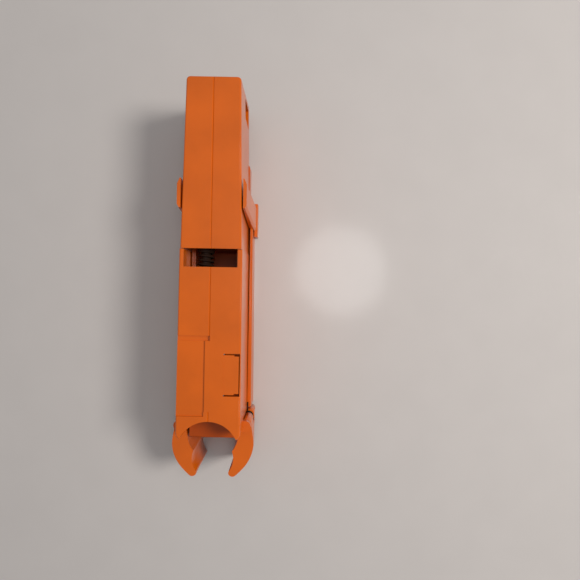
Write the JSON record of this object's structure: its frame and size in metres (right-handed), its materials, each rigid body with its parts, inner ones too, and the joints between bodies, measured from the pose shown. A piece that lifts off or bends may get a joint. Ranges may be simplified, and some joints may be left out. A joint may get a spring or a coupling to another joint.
{
  "type": "training bumper",
  "caption": "Long two-shell plastic training unit with a sprung pull head, a spring window, a press tab and two sprung hooked claws that clip round a tube",
  "frame": {"origin": "centre of the bounding box in plan, on the underside of the back tray", "axes": "+Z out of the front face, +Y towards the pull head, +X to the side that carries the press tab"},
  "size_m": [0.0436, 0.2102, 0.05],
  "materials": {
    "orange_plastic": "satin gloss",
    "tray_plastic": "satin gloss",
    "foot_plastic": "matt",
    "bright_steel": "bright",
    "black_steel": "black oxide"
  },
  "bodies": {
    "housing": {"left_body_shell": "orange_plastic", "right_body_shell": "orange_plastic", "back_tray": "tray_plastic", "left_collar_strut": "orange_plastic", "right_collar_strut": "orange_plastic", "spring_bridge": "foot_plastic", "left_jaw_pin": "bright_steel", "right_jaw_pin": "bright_steel", "left_jaw_spring": "black_steel", "right_jaw_spring": "black_steel", "latch_pin": "bright_steel", "body_screws": "bright_steel", "tray_screws": "bright_steel"},
    "pull_head": {"head_left_shell": "orange_plastic", "head_right_shell": "orange_plastic", "lanyard_bar": "bright_steel", "rod_anchor": "foot_plastic", "rod_nuts": "bright_steel", "pull_rod": "black_steel", "rod_collar": "black_steel", "clamp_foot": "foot_plastic", "head_screws": "bright_steel", "return_spring": "black_steel"},
    "left_claw": {"left_jaw": "orange_plastic"},
    "right_claw": {"right_jaw": "orange_plastic"},
    "press_tab": {"latch_tab": "orange_plastic"}
  },
  "joints": [
    {"name": "head_pull", "type": "slide", "parent": "housing", "child": "pull_head", "axis": [0, 1, 0], "range_m": [0, 0.008], "stiffness_N_per_m": 600, "deforming": ["return_spring"]},
    {"name": "left_jaw_pivot", "type": "hinge", "parent": "housing", "child": "left_claw", "pos_m": [-0.0176, -0.07694, 0.018], "axis": [0, 0, -1], "range_deg": [0, 14], "stiffness_Nm_per_rad": 0.4, "deforming": ["left_jaw_spring"]},
    {"name": "right_jaw_pivot", "type": "hinge", "parent": "housing", "child": "right_claw", "pos_m": [0.0176, -0.07694, 0.018], "axis": [0, 0, 1], "range_deg": [0, 14], "stiffness_Nm_per_rad": 0.4, "deforming": ["right_jaw_spring"]},
    {"name": "tab_press", "type": "hinge", "parent": "housing", "child": "press_tab", "pos_m": [0.0074, -0.04744, 0.04875], "axis": [0, 1, 0], "range_deg": [0, 8], "stiffness_Nm_per_rad": 0.05}
  ]
}
